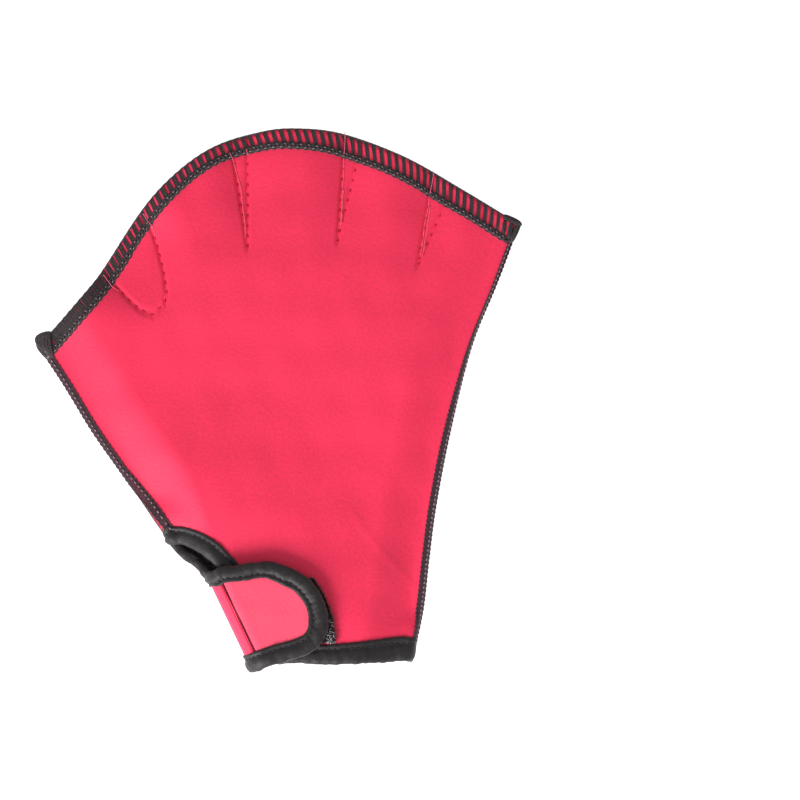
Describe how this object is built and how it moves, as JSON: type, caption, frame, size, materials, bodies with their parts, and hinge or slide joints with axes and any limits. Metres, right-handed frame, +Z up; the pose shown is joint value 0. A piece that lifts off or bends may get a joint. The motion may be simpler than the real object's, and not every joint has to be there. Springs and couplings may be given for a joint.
{
  "type": "webbed swim glove",
  "caption": "Flat fingerless webbed swim glove in neoprene with an open finger edge, bound wrist and hook-and-loop strap.",
  "frame": {"origin": "on the surface that the glove lies on, under the middle of its bounding box", "axes": "+Z up out of the surface, +Y from the wrist towards the fingers, +X from the thumb side to the little finger side"},
  "size_m": [0.1846, 0.2092, 0.0176],
  "materials": {
    "neoprene": "fine knit face on foam, matt with a soft sheen",
    "strap_neoprene": "the same knit face, a little lighter",
    "tape": "soft black folded tape, matt",
    "loop": "fuzzy black loop pile",
    "hook": "stiff black hooks on a woven ground"
  },
  "bodies": {
    "root": {"front_panel": "neoprene", "back_panel": "neoprene", "strap_tab": "strap_neoprene", "loop_patch": "loop", "hook_patch": "hook", "front_binding": "tape", "back_binding": "tape", "slit_binding": "tape"}
  },
  "joints": []
}
